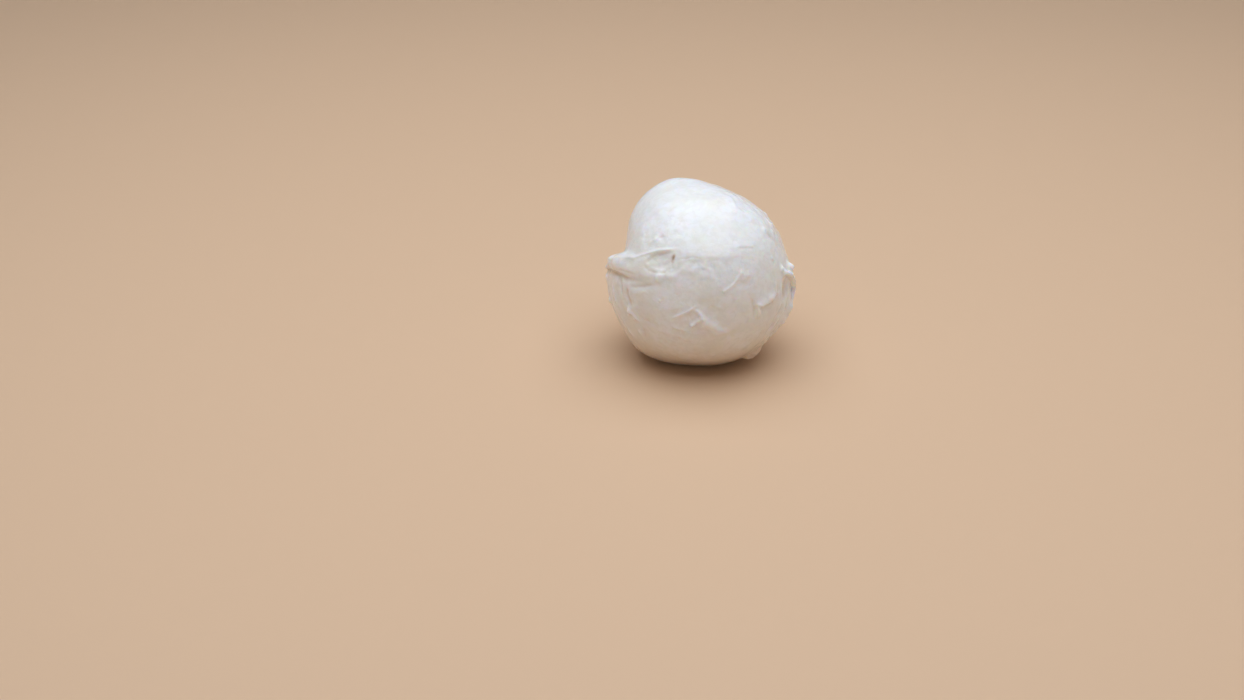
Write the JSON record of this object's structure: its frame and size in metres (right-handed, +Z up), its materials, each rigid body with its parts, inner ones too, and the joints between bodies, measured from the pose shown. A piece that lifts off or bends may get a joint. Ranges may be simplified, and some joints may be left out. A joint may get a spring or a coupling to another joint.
{
  "type": "mozzarella ball",
  "caption": "Fresh mozzarella ball, hand-pinched into a lip at the front, with folds and torn skin, resting on its own flattened underside.",
  "frame": {"origin": "middle of the flat foot that the ball rests on", "axes": "+Z up, -Y towards the front with the pinched lip, +X to the right seen from the front"},
  "size_m": [0.0746, 0.0743, 0.0704],
  "materials": {
    "curd": "wet satin"
  },
  "bodies": {
    "root": {"mozzarella_ball": "curd"}
  },
  "joints": []
}
